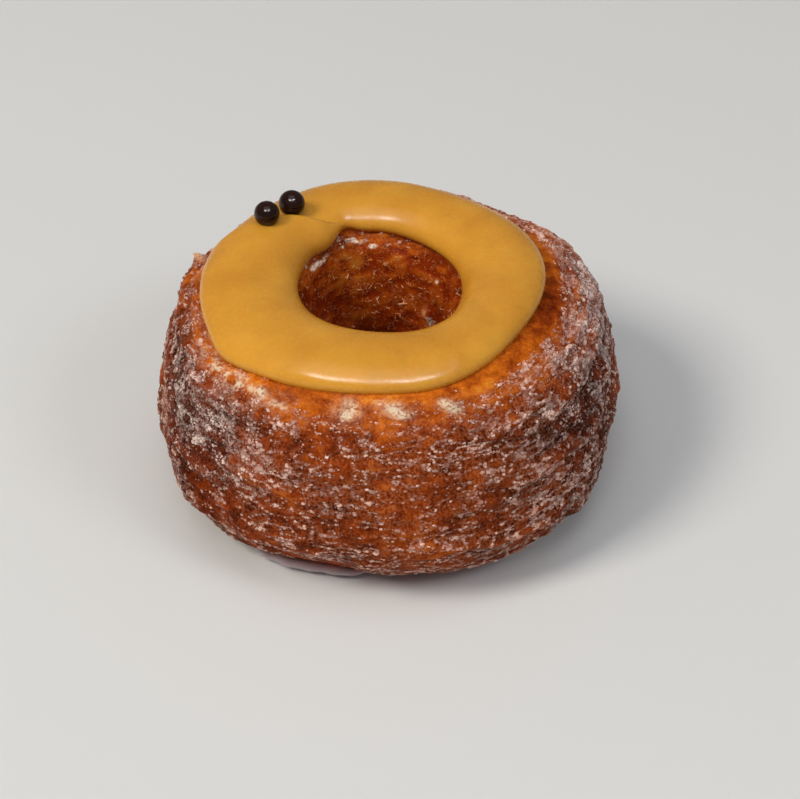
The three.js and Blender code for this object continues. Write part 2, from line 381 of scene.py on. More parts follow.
def layer_drift(angle, climb):
    """Waves by which the layers rise and fall round the ring, in layers, held still at foot and shoulder."""
    held = np.sqrt(np.maximum(np.sin(np.pi * np.clip(climb, 0, 1)), 0))
    slow = 0.3 * np.sin(3 * angle + 1 + 2 * climb)
    middle = 0.18 * np.sin(7 * angle + 4 - 3 * climb)
    return held * (slow + middle + 0.1 * np.sin(13 * angle + 2))


def bulge(share):
    """Lopsided hump: the sine of half a turn times the share to the power 0.6, all to the power 0.7."""
    return np.maximum(np.sin(np.pi * np.clip(share, 0, 1) ** 0.6), 0) ** 0.7


def layer_relief(angle, climb):
    """Height of the layers above the section, and the count of layers climbed."""
    count = LAYERS * climb + layer_drift(angle, climb)
    layer = np.clip(np.floor(count), 0, LAYERS - 1)
    strength = 0.75 + 0.2 * np.sin(2 * angle + 2.1 * layer) + 0.25 * np.sin(5 * angle + 3.7 * layer)
    depth = LAYER_DEPTH * (1 + bell(CALM_FRONT, angle) + bell(RIDGED_RIGHT, angle))
    return depth * strength * bulge(count - layer), count


print("layers at the right, mm:", layer_relief(np.radians(325), np.linspace(0.05, 0.95, 4))[0].round(2))

# %% [markdown]
# ## The dough's grid
#
# The grid has columns all round and rows along the section. The rows crowd together on the flank, where the
# leaves show, and spread out on the base and under the glaze, where nobody looks.

# %% Grid of the dough
AROUND = 540
ROW_SPANS = [
    (-0.5, 1.05, 5), (1.05, 2.0, 14), (2.0, 6.0, 84), (6.0, 7.1, 17), (7.1, 9.0, 6), (9.0, 10.0, 24),
    (10.0, 11.6, 24), (11.6, 13.5, 9)]
row_stops = np.concatenate([np.linspace(a, b, rows, endpoint=False) for a, b, rows in ROW_SPANS])
column_angles = np.linspace(0, 2 * np.pi, AROUND, endpoint=False)
angle, stop = np.meshgrid(column_angles, row_stops, indexing="ij")
climb = (stop - STOP["foot"]) / (STOP["shoulder"] - STOP["foot"])
smooth_points = ring_points(angle, stop)
on_flank = smooth_step(climb, -0.12, 0.04) * (1 - smooth_step(climb, 0.96, 1.2))
in_hole = smooth_step(stop, 9.2, 9.7) * (1 - smooth_step(stop, 12.6, 13.5))


def near(centre_degrees, width_degrees, centre_stop, width_stops):
    """Bell-shaped spot on the crust: a bell round the ring times a bell along the section."""
    along_section = np.exp(-(((stop - centre_stop) / width_stops) ** 2))
    return bell((1, centre_degrees, width_degrees), angle) * along_section


def spots(rows):
    """Sum of spots, each given as strength, degrees, width in degrees, stop and width in stops."""
    return sum(strength * near(*place) for strength, *place in rows)


print("rows:", len(row_stops), "columns:", AROUND)

# %% [markdown]
# ## Relief of the crust
#
# Four kinds of relief add up: the layers, the thinner leaves inside them, torn flakes, which are long along
# the ring and short across it, and lumps and blisters where steam swelled the dough. Leaves droop a little,
# so their edges overhang and throw a thin shadow. The front fried calmer, so its relief is lower and is
# smoothed along the section. The hole's wall never stretched, so it is wrinkled instead. Behind the glaze
# and beside the pearls the crust sinks a little, where the glaze hides it from the front.

# %% Heights of the crust
FLANK_RADIUS = 43
STOP_LENGTH = 8.5


def ring_cells(turn, height, radius, length, depth):
    """Places for noise whose cells have a length round the ring, at a radius, and a depth up it, in mm."""
    return np.stack([np.cos(turn) * radius / length, np.sin(turn) * radius / length, height / depth], -1)


layer_height, layer_count = layer_relief(angle, np.clip(climb, 0, 1))
leaf_count = LEAVES_PER_LAYER * layer_count + 0.8 * rough_noise(smooth_points / 9, 11)
leaf_strength = np.clip(0.55 + 0.8 * rough_noise(smooth_points / 6, 21), 0, 1.3)
leaf_strength *= 1 + bell(CALM_FRONT, angle)
leaf_height = LEAF_DEPTH * leaf_strength * bulge(leaf_count - np.floor(leaf_count))
streak = rough_noise(ring_cells(angle, stop * STOP_LENGTH, FLANK_RADIUS, 7, 1.3), 31)
flake_height = 0.28 * smooth_step(streak, 0.1, 0.28) - 0.22 * smooth_step(-streak, 0.25, 0.45)
lumps = 0.55 * lattice_noise(smooth_points / 11, 41) + 0.3 * lattice_noise(smooth_points / 5, 51)
blisters = 0.3 * smooth_step(lattice_noise(smooth_points / 2.6, 61), 0.25, 0.75)
grit = 0.1 * rough_noise(smooth_points / 1.1, 71, 2)
print("leaf height, mm:", leaf_height.min().round(2), leaf_height.max().round(2))

# %% Wrinkles in the hole, and crumbs
CRUMBS = [(2.4, 160.5, 1.5, 5.92, 0.1), (0.9, 186, 1, 4.86, 0.08), (1.1, 50.5, 4, 10.82, 0.12)]
wrinkle = rough_noise(ring_cells(angle, smooth_points[..., 2], HOLE_RADIUS, 2.4, 1.2), 141)
hole_height = 0.14 * smooth_step(wrinkle, -0.05, 0.25) - 0.12 * smooth_step(-wrinkle, 0.15, 0.5)
hole_height += 0.25 * np.sin(4 * stop + 1.5 * np.sin(3 * angle) + 5 * angle)
crumbs = spots(CRUMBS)
print("hole height, mm:", hole_height.min().round(2), hole_height.max().round(2))

# %% Surface of the crust
LOW_BACK = (0.6, 80, 45)
LOW_BY_PEARLS = (1.8, 150, 12)
under_glaze = smooth_step(stop, 6.5, 7.0) * (1 - smooth_step(stop, 8.6, 9.2))
above_foot = smooth_step(stop, 1.9, 2.7)
open_crust = np.clip(smooth_step(stop, 0.9, 1.6) - under_glaze, 0, 1) * (1 - smooth_step(stop, 13.2, 13.5))
fine_relief = on_flank * leaf_height + open_crust * (flake_height + lumps + blisters + grit)
fine_relief -= fine_relief[(open_crust > 0.9) & (on_flank > 0.9)].mean() + 0.15
fine_relief -= bell(LOW_BACK, angle) * smooth_step(stop, 5.4, 6.2) * (1 - in_hole)
fine_relief -= bell(LOW_BY_PEARLS, angle) * smooth_step(stop, 5.3, 5.9) * (1 - smooth_step(stop, 6.45, 6.75))
fine_relief = open_crust * (0.25 + 0.75 * above_foot) * (1 - 0.75 * in_hole) * fine_relief
relief = on_flank * layer_height + fine_relief
blurred = sum(np.roll(relief, step, 1) for step in (-3, -2, -1, 0, 1, 2, 3)) / 7
relief += smooth_step(-bell(CALM_FRONT, angle), 0.05, 0.3) * on_flank * 0.8 * (blurred - relief)
relief += in_hole * hole_height + crumbs
droop = 0.45 * on_flank * (1 + 2 * bell(CALM_FRONT, angle)) * (leaf_height + flake_height.clip(0))
crust_points = ring_points(angle, stop, relief, droop)
crust = ring_piece("pastry_crust", crust_points)

# %% [markdown]
# ## How brown the crust is
#
# The tones are worked out on the same grid as the relief and stored with the mesh. Browning runs from gold
# under the front of the glaze to dark brown, and the left and right flanks are browner than the front. The
# creases between the leaves, and the hole further down its wall, are darker as painted shade. In the hole
# the wrinkles' crests are lighter and their hollows darker, and a patch high at the back is lighter, as
# painted light and shade. Cream marks the patches that stayed pale under the glaze's edge, smear the sugar
# smeared in the hole, and pale the bottom leaf. Noise tears the patches and the smears, so their edges are
# ragged.

# %% Browning
GOLDEN = [(1, 252, 48), (0.15, 312, 16), (0.6, 200, 20)]
DARK_SIDES = [(0.26, 335, 30), (0.2, 208, 26)]
# Extra painted shade in the creases of the ridged right flank.
RIDGED_CREASE_SHADE = (0.14, 325, 22)
# Browning spots, as strength, degrees, width, stop and width in stops: darker fried spots near the shoulder,
# paler crumbs, and a lighter patch high at the back of the hole, which is painted light.
FRIED_SPOTS_AND_PAINTED_LIGHT = [
    (0.1, 349, 13, 6.9, 0.4), (0.07, 248, 8, 6.5, 0.4), (0.08, 299, 8, 6.8, 0.3),
    (-0.6, 56, 3.5, 10.78, 0.12), (-0.4, 160.5, 1.5, 5.92, 0.1), (-0.18, 108, 26, 9.8, 0.45)]
# Painted shade: crease is 1 deep in the creases between the leaves and 0 on their tops.
crease = on_flank * np.clip(1 - (layer_height + leaf_height) / 0.9, 0, 1)
top_band = smooth_step(stop, 5.5, 6.3) * (1 - smooth_step(stop, 9.0, 9.8))
golden = np.clip(bells(GOLDEN, angle), 0, 1)
browning = 0.66 + bells(DARK_SIDES, angle) * (1 - top_band) - top_band * (0.11 + 0.22 * golden)
# Painted shade darkens the creases, more on the ridged right flank, and the hole further down its wall.
browning += crease * (0.10 + bell(RIDGED_CREASE_SHADE, angle)) + 0.04 * smooth_step(stop, 9.4, 11.5)
browning += 0.16 * rough_noise(smooth_points / 6, 81) - 0.08 * smooth_step(streak, 0.1, 0.3)
# Painted light and shade in the hole: browning is lighter on the wrinkles' crests and darker in their
# hollows.
wrinkle_lit_and_shaded = 0.20 * smooth_step(wrinkle, 0.0, 0.5) - 0.18 * smooth_step(-wrinkle, 0.0, 0.4)
browning += spots(FRIED_SPOTS_AND_PAINTED_LIGHT) - in_hole * (0.10 + wrinkle_lit_and_shaded)
print("browning of the flank:", browning[on_flank > 0.9].mean().round(2))

# %% Cream patches, smears and the pale leaf
CREAM_SPOTS = [
    (1.5, 259, 2.8, 6.43, 0.25), (1.2, 270, 3, 6.68, 0.1), (1.4, 272.5, 3.2, 6.54, 0.14),
    (1.2, 274.5, 2.5, 6.4, 0.1), (0.8, 286.5, 1.8, 6.68, 0.08), (1.0, 288.5, 2.2, 6.56, 0.12),
    (1.0, 289.5, 1.8, 6.42, 0.12), (0.7, 233.5, 2.5, 6.3, 0.12), (0.6, 238.5, 2, 6.2, 0.08),
    (0.5, 241.5, 2, 6.16, 0.08)]
PALE_CRUMBS = [(1, 160.5, 1.6, 5.93, 0.1), (0.3, 56, 2, 10.8, 0.08)]
SMEARS = [
    (1, 112, 5, 9.2, 0.07), (1, 106, 5, 9.32, 0.07), (1, 99.5, 4.5, 9.5, 0.07), (1, 119, 2.5, 9.34, 0.05),
    (1, 148, 5, 9.48, 0.08), (1, 140, 5, 9.48, 0.08), (0.8, 88, 3, 9.46, 0.06), (0.8, 133, 3, 9.4, 0.06),
    (0.7, 46, 2, 10.06, 0.06), (0.6, 116, 3, 10.44, 0.05), (2.4, 49.5, 3, 10.92, 0.08)]
torn = smooth_step(rough_noise(smooth_points / 1.2, 91), -0.4, 0.3)
torn_left = smooth_step(rough_noise(smooth_points / 0.9, 93), 0.0, 0.35)
cream = spots(CREAM_SPOTS) * (0.35 + 0.9 * torn) + 1.1 * near(221, 15, 6.24, 0.28) * torn_left
cream = np.clip(cream + spots(PALE_CRUMBS), 0, 1)
smear = smooth_step(spots(SMEARS) * (0.45 + 0.55 * torn), 0.25, 0.6)
pale = smooth_step(leaf_share(stop), 0, 0.5) * smooth_step(leaf_reach(angle), 0.4, 1.2)
print("share of the grid that is cream or smeared:", (np.maximum(cream, smear) > 0.5).mean().round(4))

# %% [markdown]
# ## How thickly the sugar lies
#
# The ring was rolled in sugar while hot, and part of it melted. The syrup drew the grains together in thin
# strands that run along the leaves. A noise that is zero on long wandering lines gives such strands. Dusty
# says where the sugar stayed dry: there it is grey and not warm, and it frosts the flank instead of lying in
# strands. Film is the melted part, a cloudy coat round the strands. Sugar says how thickly the grains lie,
# in patches and on the crests of the leaves.

# %% Strands
def strand_noise(turn, section_stop):
    """Rough noise on cells 2.4 mm long round the ring and 0.9 mm high up the section."""
    return rough_noise(ring_cells(turn, section_stop * STOP_LENGTH, FLANK_RADIUS, 2.4, 0.9), 131, 2)


DUSTY_SPOTS = [(1, 214, 24, 5.0, 1.1), (0.3, 330, 24, 4.6, 1.6), (1, 8, 40, 5.8, 1.2)]
dusty = np.clip(0.05 + spots(DUSTY_SPOTS), 0, 1)
halo = np.exp(-((strand_noise(angle, stop) / 0.35) ** 2))
halo += (0.65 - halo) * np.clip(1.5 * dusty, 0, 1)
print("share of the grid beside a strand:", (halo > 0.5).mean().round(3))

# %% Sugar and film
SUGARY_SPOTS = [
    (-0.05, 212, 26, 5.1, 1.1), (0.3, 318, 26, 4.0, 1.6), (1.9, 5, 42, 6.0, 0.9), (1.1, 315, 16, 6.75, 0.4),
    (0.7, 299, 8, 6.75, 0.3), (1.6, 250, 20, 2.55, 0.16)]
BARE_SPOTS = [
    (0.6, 222, 14, 3.7, 0.6), (0.8, 326, 13, 5.0, 0.7), (0.95, 347, 10, 6.95, 0.35),
    (0.65, 346, 18, 4.2, 1.3)]
BARE_SHOULDER = (1.1, 250, 48)
region = 0.55 + spots(SUGARY_SPOTS)
for strength, *place in BARE_SPOTS:
    region *= 1 - strength * near(*place)
region *= 1 - 0.97 * smooth_step(stop, 5.75, 6.35) * np.clip(bell(BARE_SHOULDER, angle), 0, 1)
region *= 1 - smooth_step(stop, 9.0, 9.5)
patch = smooth_step(rough_noise(smooth_points / 3.5, 101), -0.5, 0.2)
crest = bulge(leaf_count - np.floor(leaf_count))
melted_front = 0.3 * near(270, 30, 4.6, 0.9)
sugar = np.clip(region * (0.12 + 0.88 * patch) * (0.5 + 0.6 * crest), 0, 1) * open_crust
sugar *= (1 - 0.7 * cream) * (1 - pale) * (1 - melted_front) * (1 - 0.35 * dusty)
film = np.clip(1.3 * region * (0.3 + 0.7 * patch) * (0.3 + 0.7 * halo), 0, 1)
film *= open_crust * (1 - pale) * (1 + melted_front) * (1 - 0.3 * dusty)
print("sugar on the flank:", sugar[on_flank > 0.9].mean().round(2))

# %% Tones stored with the crust
TONES = {
    "browning": browning, "cream": cream, "pale": pale, "film": film, "dusty": dusty, "hollow": in_hole,
    "smear": smear}
for tone_name, tone in TONES.items():
    add_tone(crust, tone_name, tone)
    print(tone_name, "mean:", tone.mean().round(3), "greatest:", tone.max().round(3))

# %% [markdown]
# ## Materials
#
# Small helpers add nodes to a material's tree and wire them. The crust mixes gold, orange and brown by its
# browning tone, breaks that up with fine noise, and dusts it with sugar too fine to be grains. The wall of
# the hole is redder, with light threads of torn crust where a noise crosses its middle value.

# %% Node helpers
def new_material(name):
    """A material with only its shader and output, the tree to add nodes to, and the shader."""
    material = bpy.data.materials.new(name)
    material.use_nodes = True
    return material, material.node_tree, material.node_tree.nodes["Principled BSDF"]


def linear(red, green, blue):
    """From the eye's scale of 0 to 255 to light: small values over 12.92, others shifted and to the power
    2.4."""
    value = np.array([red, green, blue]) / 255
    light = np.where(value <= 0.04045, value / 12.92, ((value + 0.055) / 1.055) ** 2.4)
    return (*light.tolist(), 1.0)


def noise_node(tree, scale_mm, detail=3.0, stretch=(1, 1, 1)):
    """Noise on Object coordinates with features of about the given size in millimetres."""
    coordinates = tree.nodes.new("ShaderNodeTexCoord")
    mapping = tree.nodes.new("ShaderNodeMapping")
    mapping.inputs["Scale"].default_value = stretch
    noise = tree.nodes.new("ShaderNodeTexNoise")
    noise.inputs["Scale"].default_value = 1 / (scale_mm * MM)
    noise.inputs["Detail"].default_value = detail
    tree.links.new(coordinates.outputs["Object"], mapping.inputs["Vector"])
    tree.links.new(mapping.outputs["Vector"], noise.inputs["Vector"])
    return noise.outputs["Fac"]


def tone_node(tree, name):
    """The number that the mesh holds under this name."""
    node = tree.nodes.new("ShaderNodeAttribute")
    node.attribute_name = name
    return node.outputs["Fac"]


def math_node(tree, operation, first, second=None, clamp=False):
    """One sum, product or other operation on two sockets or numbers."""
    node = tree.nodes.new("ShaderNodeMath")
    node.operation = operation
    node.use_clamp = clamp
    for socket, value in zip(node.inputs, (first, second)):
        if value is None:
            continue
        if isinstance(value, (int, float)):
            socket.default_value = value
        else:
            tree.links.new(value, socket)
    return node.outputs["Value"]


def range_node(tree, value, low, high, new_low=0.0, new_high=1.0):
    """Moves a range of values to another, and clamps it."""
    node = tree.nodes.new("ShaderNodeMapRange")
    node.inputs["From Min"].default_value = low
    node.inputs["From Max"].default_value = high
    node.inputs["To Min"].default_value = new_low
    node.inputs["To Max"].default_value = new_high
    tree.links.new(value, node.inputs["Value"])
    return node.outputs["Result"]


print("middle grey as light:", round(linear(128, 128, 128)[0], 3))


# %% Nodes for colour and relief
def ramp_node(tree, value, stops):
    """Colours blended along a scale from 0 to 1."""
    node = tree.nodes.new("ShaderNodeValToRGB")
    elements = node.color_ramp.elements
    while len(elements) < len(stops):
        elements.new(1.0)
    for element, (position, colour) in zip(elements, stops):
        element.position = position
        element.color = colour
    tree.links.new(value, node.inputs["Fac"])
    return node.outputs["Color"]


def mix_node(tree, share, first, second):
    """Blend of two colours by a share."""
    node = tree.nodes.new("ShaderNodeMix")
    node.data_type = "RGBA"
    tree.links.new(share, node.inputs["Factor"])
    for socket, value in ((node.inputs["A"], first), (node.inputs["B"], second)):
        if isinstance(value, tuple):
            socket.default_value = value
        else:
            tree.links.new(value, socket)
    return node.outputs["Result"]


def bump_node(tree, height, distance_mm, strength=1.0):
    """Tilts the shading as if the surface rose by the height times the distance."""
    node = tree.nodes.new("ShaderNodeBump")
    node.inputs["Distance"].default_value = distance_mm * MM
    node.inputs["Strength"].default_value = strength
    tree.links.new(height, node.inputs["Height"])
    return node.outputs["Normal"]


# %% Colours of the crust
CRUST_TONES = [
    (0.0, linear(232, 158, 54)), (0.28, linear(206, 106, 24)), (0.58, linear(144, 58, 13)),
    (0.8, linear(100, 35, 8)), (1.0, linear(56, 17, 5))]


def browned(tree, patches, fine):
    """A colour scale over browning plus coarse and fine noise, mixed with red in the hole."""
    shift = range_node(tree, patches, 0.3, 0.7, -0.16, 0.16)
    tone = math_node(tree, "ADD", tone_node(tree, "browning"), shift, True)
    tone = math_node(tree, "ADD", tone, range_node(tree, fine, 0.3, 0.7, 0.09, -0.09), True)
    reddened = math_node(tree, "MULTIPLY", tone_node(tree, "hollow"), 0.55)
    return mix_node(tree, reddened, ramp_node(tree, tone, CRUST_TONES), linear(126, 31, 5))


def torn_threads(tree, patches):
    """In the hole, threads where a noise is near its middle value and flecks where a finer one is high."""
    threads = math_node(tree, "SUBTRACT", noise_node(tree, 1.1, 2, (1, 1, 1.8)), 0.5)
    threads = range_node(tree, math_node(tree, "ABSOLUTE", threads), 0.0, 0.04, 1.0, 0.0)
    threads = math_node(tree, "MULTIPLY", threads, range_node(tree, patches, 0.48, 0.60))
    flecks = range_node(tree, noise_node(tree, 0.6, 3, (1, 1, 1.8)), 0.64, 0.72)
    return math_node(tree, "MULTIPLY", math_node(tree, "MAXIMUM", threads, flecks), tone_node(tree, "hollow"))


def grainy(tree, name, fine, low, high, least):
    """A tone of the mesh times fine noise, which leaves at least a given share of it."""
    return math_node(tree, "MULTIPLY", range_node(tree, fine, low, high, least, 1.0), tone_node(tree, name))


# %% Crust material
def crust_material():
    """Browned dough with cream, the pale leaf, threads, smears and a cloudy coat mixed over it in turn. The
    coat and the threads stand out a little, and there is hardly any gloss."""
    material, tree, shader = new_material("fried_crust")
    patches = noise_node(tree, 2.2, 5)
    fine = noise_node(tree, 0.5, 2)
    threads = torn_threads(tree, patches)
    film = grainy(tree, "film", fine, 0.42, 0.60, 0.0)
    coat = mix_node(tree, tone_node(tree, "dusty"), linear(180, 106, 68), linear(170, 128, 112))
    coverings = [
        (grainy(tree, "cream", fine, 0.36, 0.54, 0.25), linear(232, 210, 180)),
        (tone_node(tree, "pale"), linear(200, 188, 192)),
        (threads, linear(238, 140, 74)),
        (grainy(tree, "smear", fine, 0.36, 0.5, 0.15), linear(248, 226, 204)),
        (film, coat)]
    colour = browned(tree, patches, fine)
    for share, covering in coverings:
        colour = mix_node(tree, share, colour, covering)
    tree.links.new(colour, shader.inputs["Base Color"])
    tree.links.new(range_node(tree, patches, 0.3, 0.7, 0.30, 0.52), shader.inputs["Roughness"])
    shader.inputs["Specular IOR Level"].default_value = 0.02
    shader.inputs["Subsurface Weight"].default_value = 0.12
    shader.inputs["Subsurface Radius"].default_value = (0.0025, 0.0009, 0.0004)
    shader.inputs["Subsurface Scale"].default_value = 1.0
    relief = math_node(tree, "MAXIMUM", film, threads)
    tree.links.new(bump_node(tree, relief, 0.18, 0.8), shader.inputs["Normal"])
    return material


crust.data.materials.append(crust_material())
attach(crust, "root")
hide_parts("pastry")
print("nodes in the crust's finish:", len(crust.data.materials[0].node_tree.nodes))

# %% [markdown]
# ## The glaze
#
# Warm caramel was piped in a ring from a nozzle. It settled into a smooth pillow with rolled edges, and the
# end of the ring lapped over its start as a round tongue. The pillow's section is a superellipse between an
# inner and an outer edge that wander round the ring, and the tongue is a second, thicker pillow with a
# round nose: the surface is whichever of the two stands higher. A few small bubbles swell its skin.

# %% Edges of the glaze
GLAZE_OUTER = 31.3
GLAZE_INNER = 17.0
GLAZE_OUTER_SWELLS = [(1, 3.2, -169), (2, 0.75, 27), (3, 0.5, 28), (4, 0.25, 30)]
GLAZE_INNER_SWELLS = [(1, 0.8, 178), (2, 0.65, -88), (4, 0.2, 24)]
GLAZE_BULGES = [(1.2, 350, 26), (1.0, 80, 34), (0.9, 285, 20), (0.9, 217, 9)]
TONGUE_NOTCH = (1.0, 113.5, 7)
TONGUE_TIP = (-0.72, 133, 11)
crown_stops = np.linspace(STOP["shoulder"], STOP["hole_upper"], 4001)
crown_radii = section_at(crown_stops)[0]


def crown_stop(radius):
    """Stop on the crown at a radius, read off a fine table, as the radius only shrinks along the crown."""
    return np.interp(-radius, -crown_radii, crown_stops)


def glaze_edges(turn):
    """Stops of the glaze's outer and inner edge at an angle."""
    outer = GLAZE_OUTER + swell(GLAZE_OUTER_SWELLS, turn) + bells(GLAZE_BULGES, turn)
    inner = GLAZE_INNER + swell(GLAZE_INNER_SWELLS, turn) + bells([TONGUE_NOTCH, TONGUE_TIP], turn)
    return crown_stop(outer), crown_stop(inner)


print("edges of the glaze at the front, stops:", np.round(glaze_edges(np.radians(270)), 2))

# %% Thickness of the glaze
GLAZE_LIFT = 0.3
GLAZE_THICKNESS = 2.8
TONGUE_THICKNESS = 4.1
GLAZE_ROUNDNESS = 2.6
TONGUE_EDGE_ANGLE = 112
TONGUE_TURN = 56
TONGUE_NOSE = 2.6
TONGUE_LENGTH = 70
TONGUE_SOFTNESS = 0.35
START_DIP = 0.6
START_DIP_WIDTH = 28


def glaze_thickness(turn, width_share):
    """Superellipse over the width, from -1 at the hole to 1 at the rim, times the greater of the plain
    thickness, which dips at the tongue's edge, and the tongue's, which rises past it as a quarter circle.
    Half the sum of the two plus the root of their difference squared and a softness squared rounds the
    crease between them."""
    pillow = np.maximum(1 - np.abs(width_share) ** GLAZE_ROUNDNESS, 0) ** (1 / GLAZE_ROUNDNESS)
    outward = np.clip((width_share + 1) / 2, 0, 1)
    past = degrees_past(turn, TONGUE_EDGE_ANGLE + TONGUE_TURN * outward)
    ring = GLAZE_INNER + (GLAZE_OUTER - GLAZE_INNER) * outward
    nose = np.clip(np.radians(past) * ring / TONGUE_NOSE, 0, 1)
    settle = smooth_step(past, 0, TONGUE_LENGTH)
    tongue = TONGUE_THICKNESS + (GLAZE_THICKNESS - TONGUE_THICKNESS) * settle
    tongue *= np.sqrt(1 - (1 - nose) ** 2)
    softness = TONGUE_SOFTNESS * (1 - settle)
    plain = GLAZE_THICKNESS - START_DIP * np.exp(-((past / START_DIP_WIDTH) ** 2))
    return pillow * (plain + tongue + np.sqrt((plain - tongue) ** 2 + softness**2)) / 2


print("glaze at the front and on the tongue, mm:", glaze_thickness(np.radians([270, 150]), 0.0).round(2))

# %% Surface of the glaze
GLAZE_AROUND = 720
GLAZE_TOP_ROWS = 84
GLAZE_UNDER_ROWS = 8
GLAZE_SUNK = 0.5
GLAZE_MIDDLE = 25
GLAZE_HALF_WIDTH = 7.2
BUBBLES = [
    (295.5, 0.64, 0.2, 1.1), (54.5, -0.18, 0.2, 0.5), (208, -0.15, 0.15, 0.5), (273.5, 0.22, 0.12, 0.5)]

top_share = np.cos(np.linspace(0, np.pi, GLAZE_TOP_ROWS))
under_share = np.linspace(-1, 1, GLAZE_UNDER_ROWS + 2)[1:-1]
width_share = np.concatenate([top_share, under_share])
is_top = np.arange(len(width_share)) < GLAZE_TOP_ROWS
glaze_turn, glaze_width = np.meshgrid(
    np.linspace(0, 2 * np.pi, GLAZE_AROUND, endpoint=False), width_share, indexing="ij")
outer_stop, inner_stop = glaze_edges(glaze_turn)
glaze_stop = inner_stop + (outer_stop - inner_stop) * (glaze_width + 1) / 2
thickness = glaze_thickness(glaze_turn, glaze_width)
flat_glaze = ring_points(glaze_turn, glaze_stop, GLAZE_LIFT + thickness)
waver = 0.14 * lattice_noise(flat_glaze / 14, 111) + 0.06 * lattice_noise(flat_glaze / 5, 121)
wet_height = GLAZE_LIFT + thickness * (1 + waver * 0.6)
for degrees, share, height, radius in BUBBLES:
    along = np.radians(degrees_past(glaze_turn, degrees)) * GLAZE_MIDDLE
    across = (glaze_width - share) * GLAZE_HALF_WIDTH
    wet_height += height * np.exp(-((along**2 + across**2) / radius**2))
push = np.where(is_top & (thickness > 0), wet_height, -GLAZE_SUNK)
glaze = ring_piece("caramel_glaze_ring", ring_points(glaze_turn, glaze_stop, push))


# %% Glaze material
def glaze_material():
    """Opaque caramel with a little light under its skin: an even ochre with slow drifts, and tiny pits."""
    material, tree, shader = new_material("caramel")
    drift = noise_node(tree, 9, 2)
    speck = noise_node(tree, 0.8, 2)
    colour = ramp_node(tree, drift, [(0.3, linear(205, 140, 43)), (0.7, linear(221, 158, 53))])
    tree.links.new(colour, shader.inputs["Base Color"])
    tree.links.new(range_node(tree, speck, 0.3, 0.7, 0.24, 0.30), shader.inputs["Roughness"])
    shader.inputs["Specular IOR Level"].default_value = 0.35
    shader.inputs["Subsurface Weight"].default_value = 0.2
    shader.inputs["Subsurface Radius"].default_value = (0.003, 0.0014, 0.0005)
    shader.inputs["Subsurface Scale"].default_value = 1.0
    tree.links.new(bump_node(tree, speck, 0.03, 0.5), shader.inputs["Normal"])
    return material


glaze.data.materials.append(glaze_material())
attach(glaze, "root")
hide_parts("caramel_glaze")
print("nodes in the glaze's finish:", len(glaze.data.materials[0].node_tree.nodes))

# %% [markdown]
# ## The pearls
#
# Each pearl is a small crisp ball in a polished chocolate shell. A sphere on a grid of turns and tilts is
# enough, with a breath of noise, because a panned shell is never quite round. They take the solids' places.

# %% Pearls
PEARL_TURNS = 48
PEARL_TILTS = 24
PEARL_UNEVEN = 0.012


def ball(centre, radius, seed):
    """Points of a sphere: two poles, and between them the sines and cosines of turn and tilt, with noise."""
    tilt, turn = np.meshgrid(
        np.linspace(0, np.pi, PEARL_TILTS + 1)[1:-1],
        np.linspace(0, 2 * np.pi, PEARL_TURNS, endpoint=False), indexing="ij")
    belt = np.stack([np.sin(tilt) * np.cos(turn), np.sin(tilt) * np.sin(turn), np.cos(tilt)], -1)
    unit = np.concatenate([belt.reshape(-1, 3), [[0, 0, 1], [0, 0, -1]]])
    return centre + unit * (radius * (1 + PEARL_UNEVEN * lattice_noise(unit * 1.7 + seed, seed)))[..., None]


def ball_faces():
    """Triangles between the belts of a sphere's grid, and a fan round each pole."""
    belts = PEARL_TILTS - 1
    row, column = np.meshgrid(np.arange(belts - 1), np.arange(PEARL_TURNS), indexing="ij")
    after = (column + 1) % PEARL_TURNS
    a, b = row * PEARL_TURNS + column, row * PEARL_TURNS + after
    c, d = (row + 1) * PEARL_TURNS + after, (row + 1) * PEARL_TURNS + column
    quads = np.concatenate([np.stack([a, d, c], -1).reshape(-1, 3), np.stack([a, c, b], -1).reshape(-1, 3)])
    spin = np.arange(PEARL_TURNS)
    following = (spin + 1) % PEARL_TURNS
    top = np.stack([np.full(PEARL_TURNS, belts * PEARL_TURNS), spin, following], -1)
    last = (belts - 1) * PEARL_TURNS
    bottom = np.stack([np.full(PEARL_TURNS, belts * PEARL_TURNS + 1), last + following, last + spin], -1)
    return np.concatenate([quads, top, bottom])


def chocolate_material():
    """Polished dark chocolate: near black with a warm drift, and a clear shine."""
    material, tree, shader = new_material("dark_chocolate")
    drift = noise_node(tree, 1.5, 3)
    colour = ramp_node(tree, drift, [(0.3, linear(27, 12, 8)), (0.7, linear(44, 20, 13))])
    tree.links.new(colour, shader.inputs["Base Color"])
    tree.links.new(range_node(tree, drift, 0.3, 0.7, 0.15, 0.21), shader.inputs["Roughness"])
    shader.inputs["Specular IOR Level"].default_value = 0.27
    return material


chocolate = chocolate_material()
for index, (node, pearl) in enumerate(PEARLS.items()):
    points = ball(box_centre(node), pearl["radius"], 7 + index) * MM
    shell = mesh_object(node + "_shell", points, ball_faces())
    shell.data.materials.append(chocolate)
    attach(shell, "root")
    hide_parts(node)
    print(shell.name, len(shell.data.polygons), "triangles")

# %% [markdown]
# ## Grains of sugar
#
# Each grain is a small crooked block, lump or chip, because sugar crystals are blocks with blunt corners.
# Thousands of them are made at once as arrays: a place drawn by the crust's sugar tone and near a strand,
# three half-lengths, a random turn and jittered corners. A grain is white on top and clear at its rim, so it
# melts into the crust. Where it is dusty the grains lie further from the strands, and are larger and less
# drawn out. All grains of a kind are one mesh. Thin bright curls in the hole are made the same way: they are
# partly torn crust and partly painted glints.

